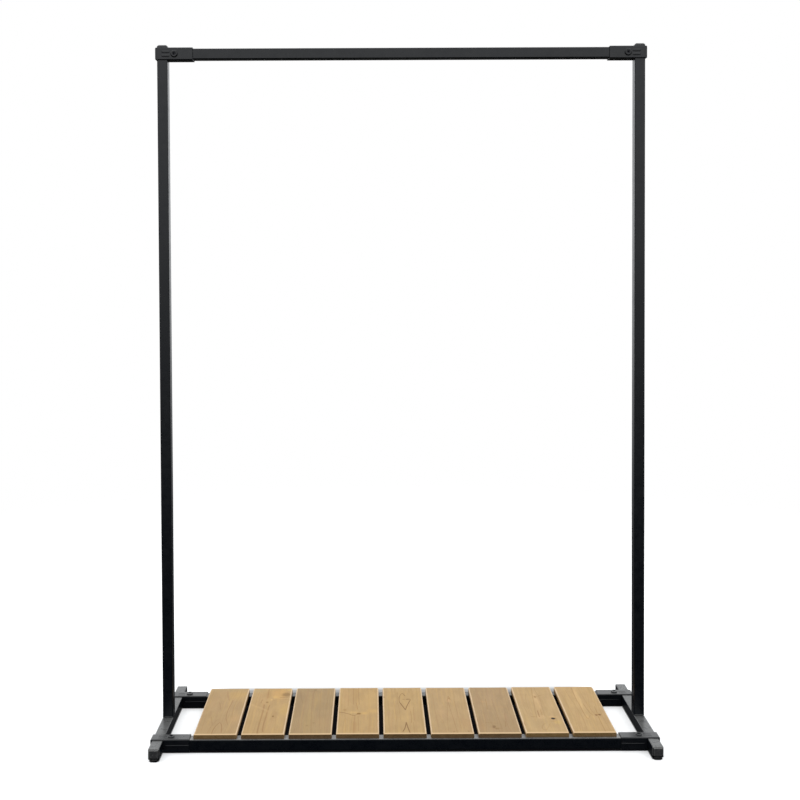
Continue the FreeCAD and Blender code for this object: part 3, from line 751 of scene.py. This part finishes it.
        # pale arrises round the top: partly sanded-through wear, partly a painted highlight where the rounded edges
        # catch the light
        scuff = t.noise(t.vec(t.mul(x, 0.5), t.mul(y, 0.07), t.add(t.mul(z, 0.5), seed)), 1.0, 3.0, 0.6)
        ragged = t.linear(scuff, 0.25, 0.75, -1.3, 1.1)
        ex = t.add(t.sub(half_w * 1000, t.math('ABSOLUTE', x)), ragged)
        near_top = t.step(z, -4.6, -1.8)
        side = t.mul(t.step(ex, 4.2, 1.6), near_top)
        ef = t.add(t.add(y, half_l * 1000), t.mul(ragged, 0.45))
        front = t.mul(t.step(ef, 6.5, 2.6), near_top)
        eb = t.add(t.sub(half_l * 1000, y), ragged)
        back = t.mul(t.step(eb, 4.0, 1.5), near_top)
        col = t.mix(t.mul(side, t.linear(scuff, 0.25, 0.75, 0.70, 1.0)), col, lin((238, 212, 184)))
        col = t.mix(t.mul(front, 0.88), col, lin((238, 208, 172)))
        col = t.mix(t.mul(back, 0.6), col, lin((214, 186, 150)))
        # painted shade: the board's sides below the top arris are darkened
        side_painted_shade = t.step(z, -2.6, -5.0)
        col = t.mix(t.mul(side_painted_shade, 0.75), col, tuple(c * k for c, k in zip(tone, (0.62, 0.52, 0.40))))
    rough = t.add(t.linear(fib, 0.25, 0.75, 0.56, 0.68), t.mul(late, -0.05))
    if end:
        rough = t.add(rough, 0.2)
    height = t.add(t.mul(late, 0.45), t.add(t.mul(fib, 0.5), t.mul(fine, 0.35)))
    nrm = t.bump(height, 0.28, 0.00022)
    t.principled(col, rough, nrm, Specular_IOR_Level=0.16)
    return mat


END_TONES = {1: ((0.30, 0.175, 0.065), (0.36, 0.22, 0.090)), 2: ((0.22, 0.125, 0.045), (0.26, 0.15, 0.060)),
             3: ((0.19, 0.105, 0.042), (0.23, 0.135, 0.058)), 4: ((0.21, 0.120, 0.044), (0.26, 0.15, 0.060)),
             5: ((0.20, 0.112, 0.042), (0.25, 0.145, 0.058)), 6: ((0.21, 0.120, 0.045), (0.25, 0.15, 0.060)),
             7: ((0.20, 0.115, 0.048), (0.25, 0.150, 0.066)), 8: ((0.30, 0.180, 0.060), (0.36, 0.22, 0.085)),
             9: ((0.30, 0.180, 0.062), (0.36, 0.22, 0.088))}


def smooth01(v):
    v = max(0.0, min(1.0, v))
    return v * v * (3 - 2 * v)


def board_mesh(i, node):
    lo, hi = coords(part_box(node))
    name = node + "_planed"
    rng = random.Random(100 + i)
    W, L, T = hi[0] - lo[0], hi[1] - lo[1], hi[2] - lo[2]
    cx, cy = (lo[0] + hi[0]) / 2, (lo[1] + hi[1]) / 2
    seed = Vector((i * 3.17, i * 1.91, i * 5.3))
    top_r = 2.6 * MM
    bot_r = 0.9 * MM
    end_r = 1.8 * MM
    corner = {7: (2.0, 2.0, 7.0, 6.0), 9: (2.0, 2.0, 7.0, 4.0), 1: (2.0, 3.0, 4.0, 4.0),
              3: (2.0, 2.0, 4.0, 6.0), 8: (2.0, 2.0, 4.5, 3.5)}.get(i, (2.0, 2.0, 4.5, 4.5))   # plan corners fl, fr, rr, rl
    corner = [c * MM for c in corner]

    # stations along the length, closer together near the ends
    ys = []
    inner = 84
    steps = 5
    for k in range(steps):
        a = math.pi / 2 * k / steps
        ys.append((end_r * (1 - math.sin(a)), math.cos(a)))          # (distance from end, how far the end rounding has gone)
    ys = [(end_r * (1 - math.cos(math.pi / 2 * k / steps)), 1 - math.sin(math.pi / 2 * k / steps)) for k in range(steps)]
    front = [(-L / 2 + d, e) for d, e in ys]
    back = [(L / 2 - d, e) for d, e in reversed(ys)]
    mid = [(-L / 2 + end_r + (L - 2 * end_r) * k / inner, 0.0) for k in range(inner + 1)]
    stations = front + mid + back

    # section round the board, counter-clockwise seen from the front, starting at bottom left
    def section(rt_l, rt_r, half_l, half_r):
        pts = []
        tags = []
        nb, nt, ns, na = 16, 44, 2, 6
        b = bot_r
        for k in range(nb + 1):
            x = -half_l + b + (half_l + half_r - 2 * b) * k / nb
            pts.append((x, 0.0)); tags.append(('b', 0))
        for k in range(1, na // 2 + 1):
            a = math.pi / 2 * k / (na // 2)
            pts.append((half_r - b + b * math.sin(a), b - b * math.cos(a))); tags.append(('s', 0.2))
        for k in range(1, ns + 1):
            z = b + (T - rt_r - b) * k / ns
            pts.append((half_r, z)); tags.append(('s', 0.25 * k / ns))
        for k in range(1, na + 1):
            a = math.pi / 2 * k / na
            pts.append((half_r - rt_r + rt_r * math.cos(a), T - rt_r + rt_r * math.sin(a)))
            tags.append(('a', 0.35 + 0.65 * math.sin(math.pi * k / (na + 0.4)) if k < na else 0.55))
        for k in range(1, nt):
            x = half_r - rt_r - (half_l + half_r - rt_l - rt_r) * k / nt
            d = min(k, nt - k) * (half_l + half_r) / nt
            pts.append((x, T)); tags.append(('t', 0.30 * max(0.0, 1 - d / (3.2 * MM))))
        for k in range(0, na + 1):
            a = math.pi / 2 * k / na
            pts.append((-half_l + rt_l - rt_l * math.sin(a), T - rt_l + rt_l * math.cos(a)))
            tags.append(('a', 0.35 + 0.65 * math.sin(math.pi * (na - k) / (na + 0.4)) if k > 0 else 0.55))
        for k in range(1, ns + 1):
            z = (T - rt_l) - (T - rt_l - b) * k / ns
            pts.append((-half_l, z)); tags.append(('s', 0.25 * (1 - k / ns)))
        for k in range(1, na // 2):
            a = math.pi / 2 * k / (na // 2)
            pts.append((-half_l + b - b * math.sin(a), b - b * math.cos(a))); tags.append(('s', 0.2))
        return pts, tags

    verts, edge = [], []
    row = None
    pits = [(kx, ky, rx, ry, amt) for kx, ky, rx, ry, amt, colour in BOARDS[i]["knots"]]
    for y, e in stations:
        dist_front = y + L / 2
        dist_back = L / 2 - y
        # plan corner rounding narrows the board near its ends
        def narrow(c_l, c_r, d):
            out = []
            for c in (c_l, c_r):
                if d < c:
                    out.append(c - math.sqrt(max(0.0, c * c - (c - d) ** 2)))
                else:
                    out.append(0.0)
            return out
        nl, nr = narrow(corner[0], corner[1], dist_front)
        ml, mr = narrow(corner[3], corner[2], dist_back)
        nl, nr = max(nl, ml), max(nr, mr)
        wob = 0.0005
        rl = top_r + wob * mnoise.noise(seed + Vector((0, y * 40, 0)))
        rr = top_r + wob * mnoise.noise(seed + Vector((9, y * 40, 0)))
        el = 0.00022 * (1 + mnoise.noise(seed + Vector((4, y * 14, 0))))
        er = 0.00022 * (1 + mnoise.noise(seed + Vector((7, y * 14, 0))))
        pts, tags = section(rl, rr, W / 2 - nl - el, W / 2 - nr - er)
        row = len(pts)
        shrink = e * end_r
        for (x, z), (kind, tag) in zip(pts, tags):
            # the end's rounding draws the section in on top and sides
            if e > 0:
                zz = z
                zz = min(zz, T - shrink) if z > T / 2 else max(zz, 0.0 + shrink * 0.4)
                half = W / 2
                fx = 1 - (shrink * 0.55) / half
                x = x * fx
                z = zz
            if kind in ('t', 'a') and z > T * 0.55:
                u = x / (W / 2)
                cup = 0.00018 * (u * u - 1.0)
                rel = 0.00006 * mnoise.noise(Vector((x * 420, y * 11, i * 7.7)))
                rel += 0.00005 * mnoise.noise(Vector((x * 90, y * 6, i * 3.1)))
                for kx, ky, rx, ry, dark in pits:
                    d = math.hypot((x * 1000 - kx) / rx, (y * 1000 - ky) / ry)
                    if d < 3:
                        rel -= 0.00012 * dark * math.exp(-d * d)
                z = min(T, z + cup + rel - 0.00002)
            verts.append((cx + x, cy + y, lo[2] + z))
            near_end = max(0.0, 1 - min(dist_front, dist_back) / (3.0 * MM))
            edge.append(max(tag, (0.85 if kind in ('t', 'a') else 0.3) * near_end))
    faces = []
    n = len(stations)
    for s in range(n - 1):
        for k in range(row):
            a0 = s * row + k
            a1 = s * row + (k + 1) % row
            faces.append((a0, a1, a1 + row, a0 + row))
    faces.append(tuple(reversed(range(row))))
    faces.append(tuple((n - 1) * row + k for k in range(row)))
    me = bpy.data.meshes.new(name)
    me.from_pydata(verts, [], faces)
    bm = bmesh.new()
    bm.from_mesh(me)
    bmesh.ops.recalc_face_normals(bm, faces=bm.faces)
    bm.to_mesh(me)
    bm.free()
    obj = bpy.data.objects.new(name, me)
    scene.collection.objects.link(obj)
    spec = BOARDS[i]
    centre = (cx, cy, hi[2])
    me.materials.append(wood("board_%d_face" % i, i, spec, centre, False, W / 2, L / 2))
    me.materials.append(wood("board_%d_end" % i, i, spec, centre, True, W / 2, L / 2))
    for p in me.polygons:
        p.use_smooth = True
        if len(p.vertices) > 4:
            p.material_index = 1
            p.use_smooth = False
        elif abs(p.normal.y) > 0.70:
            p.material_index = 1
    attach(obj, body_of_node(node))
    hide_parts(node)
    return obj


for i in range(1, 10):
    board_mesh(i, "shelf_board_%d" % i)


# ---------------------------------------------------------------------------
# Stage: pale floor, soft light
# ---------------------------------------------------------------------------
def floor():
    me = bpy.data.meshes.new("studio_floor")
    n, rings = 96, 14
    verts, faces = [(0, 0, 0)], []
    for k in range(1, rings + 1):
        r = 14.0 * (k / rings) ** 1.6
        for j in range(n):
            a = 2 * math.pi * j / n
            verts.append((r * math.cos(a), r * math.sin(a), 0.0))
    for j in range(n):
        faces.append((0, 1 + j, 1 + (j + 1) % n))
    for k in range(rings - 1):
        for j in range(n):
            a0 = 1 + k * n + j
            a1 = 1 + k * n + (j + 1) % n
            faces.append((a0, a0 + n, a1 + n, a1))
    me.from_pydata(verts, [], faces)
    obj = bpy.data.objects.new("studio_floor", me)
    scene.collection.objects.link(obj)
    mat = bpy.data.materials.new("studio_paper")
    t = Tree(mat)
    pos, x, y, z = t.xyz()
    d = t.sqrt(t.add(t.mul(x, x), t.mul(y, y)))
    fade = t.step(d, 1000.0, 3000.0)
    tone = t.noise(pos, 0.004, 3.0, 0.5)
    col = t.mix(t.step(tone, 0.3, 0.7), (0.900, 0.900, 0.897), (0.912, 0.912, 0.910))
    # the ground under the slats and tubes stays in deep shade
    ax, ay = t.math('ABSOLUTE', x), t.math('ABSOLUTE', y)
    slats = t.mul(t.step(ax, 490.0, 480.0), t.step(ay, 135.0, 130.0))
    rails = t.mul(t.step(ax, 581.0, 577.0), t.mul(t.step(ay, 137.0, 133.0), t.step(ay, 109.0, 113.0)))
    feet = t.mul(t.mul(t.step(ax, 581.0, 577.0), t.step(ax, 554.0, 558.0)), t.step(ay, 179.0, 174.0))
    under = t.math('MAXIMUM', slats, t.math('MAXIMUM', rails, feet))
    col = t.mix(under, col, (0.006, 0.006, 0.007))
    # softer shade just behind the slats, seen through the gaps between them
    behind = t.mul(t.step(ax, 520.0, 440.0), t.mul(t.step(y, 262.0, 214.0), t.step(y, 130.0, 135.0)))
    col = t.mix(t.mul(behind, 0.88), col, (0.190, 0.186, 0.182))
    bsdf = t.principled(t.scale_rgb(col, 0.72), 0.85, None, Specular_IOR_Level=0.1, Emission_Strength=0.38)
    t.link(col, bsdf.inputs["Emission Color"])
    clear = t.node("ShaderNodeBsdfTransparent")
    mixs = t.node("ShaderNodeMixShader")
    t.link(fade, mixs.inputs[0])
    t.link(bsdf.outputs[0], mixs.inputs[1])
    t.link(clear.outputs[0], mixs.inputs[2])
    t.link(mixs.outputs[0], t.out.inputs[0])
    me.materials.append(mat)
    obj.visible_glossy = False
    obj.visible_diffuse = False
    return obj


floor()

world = bpy.data.worlds.new("studio")
scene.world = world
world.use_nodes = True
wt = world.node_tree
wt.nodes.clear()
wout = wt.nodes.new("ShaderNodeOutputWorld")
tc = wt.nodes.new("ShaderNodeTexCoord")
sep = wt.nodes.new("ShaderNodeSeparateXYZ")
wt.links.new(tc.outputs["Generated"], sep.inputs[0])
# a bright sky behind and above, fading to a dark ground in front


def world_ramp(socket, lo, hi, out_lo, out_hi):
    n = wt.nodes.new("ShaderNodeMapRange")
    n.interpolation_type = 'SMOOTHSTEP'
    wt.links.new(socket, n.inputs[0])
    for k, v in ((1, lo), (2, hi)):
        n.inputs[k].default_value = v
    for k, v in ((3, out_lo), (4, out_hi)):
        if isinstance(v, bpy.types.NodeSocket):
            wt.links.new(v, n.inputs[k])
        else:
            n.inputs[k].default_value = v
    return n.outputs[0]


ahead_sky = world_ramp(sep.outputs[2], -0.215, 0.21, 0.001, 1.72)
behind_sky = world_ramp(sep.outputs[2], -0.25, 0.10, 0.06, 1.45)
across = wt.nodes.new("ShaderNodeMath")
across.operation = 'ABSOLUTE'
wt.links.new(sep.outputs[0], across.inputs[0])
flank = world_ramp(across.outputs[0], 0.45, 0.85, 1.0, 0.25)
dimmed = wt.nodes.new("ShaderNodeMath")
dimmed.operation = 'MULTIPLY'
wt.links.new(ahead_sky, dimmed.inputs[0])
wt.links.new(flank, dimmed.inputs[1])
sky = world_ramp(sep.outputs[1], -0.15, 0.40, dimmed.outputs[0], behind_sky)
light_bg = wt.nodes.new("ShaderNodeBackground")
light_bg.inputs[0].default_value = (0.96, 0.98, 1.0, 1.0)
wt.links.new(sky, light_bg.inputs[1])
seen_bg = wt.nodes.new("ShaderNodeBackground")
seen_bg.inputs[0].default_value = (1.0, 1.0, 1.0, 1.0)
seen_bg.inputs[1].default_value = 1.0
lp = wt.nodes.new("ShaderNodeLightPath")
mixw = wt.nodes.new("ShaderNodeMixShader")
wt.links.new(lp.outputs["Is Camera Ray"], mixw.inputs[0])
wt.links.new(light_bg.outputs[0], mixw.inputs[1])
wt.links.new(seen_bg.outputs[0], mixw.inputs[2])
wt.links.new(mixw.outputs[0], wout.inputs[0])


def softbox(name, where, at, size, power, colour=(1, 1, 1)):
    data = bpy.data.lights.new(name, 'AREA')
    data.shape = 'RECTANGLE'
    data.size, data.size_y = size
    data.energy = power
    data.color = colour
    obj = bpy.data.objects.new(name, data)
    scene.collection.objects.link(obj)
    obj.location = where
    direction = Vector(at) - Vector(where)
    obj.rotation_euler = direction.to_track_quat('-Z', 'Y').to_euler()
    obj.visible_camera = False
    return obj


softbox("key_left", (-2.4, 0.6, 3.6), (0, 0, 0.3), (2.4, 1.8), 26.0, (1.0, 0.985, 0.96))
softbox("fill_right", (2.6, 0.2, 3.4), (0, 0, 0.4), (2.2, 1.8), 18.0, (0.97, 0.985, 1.0))
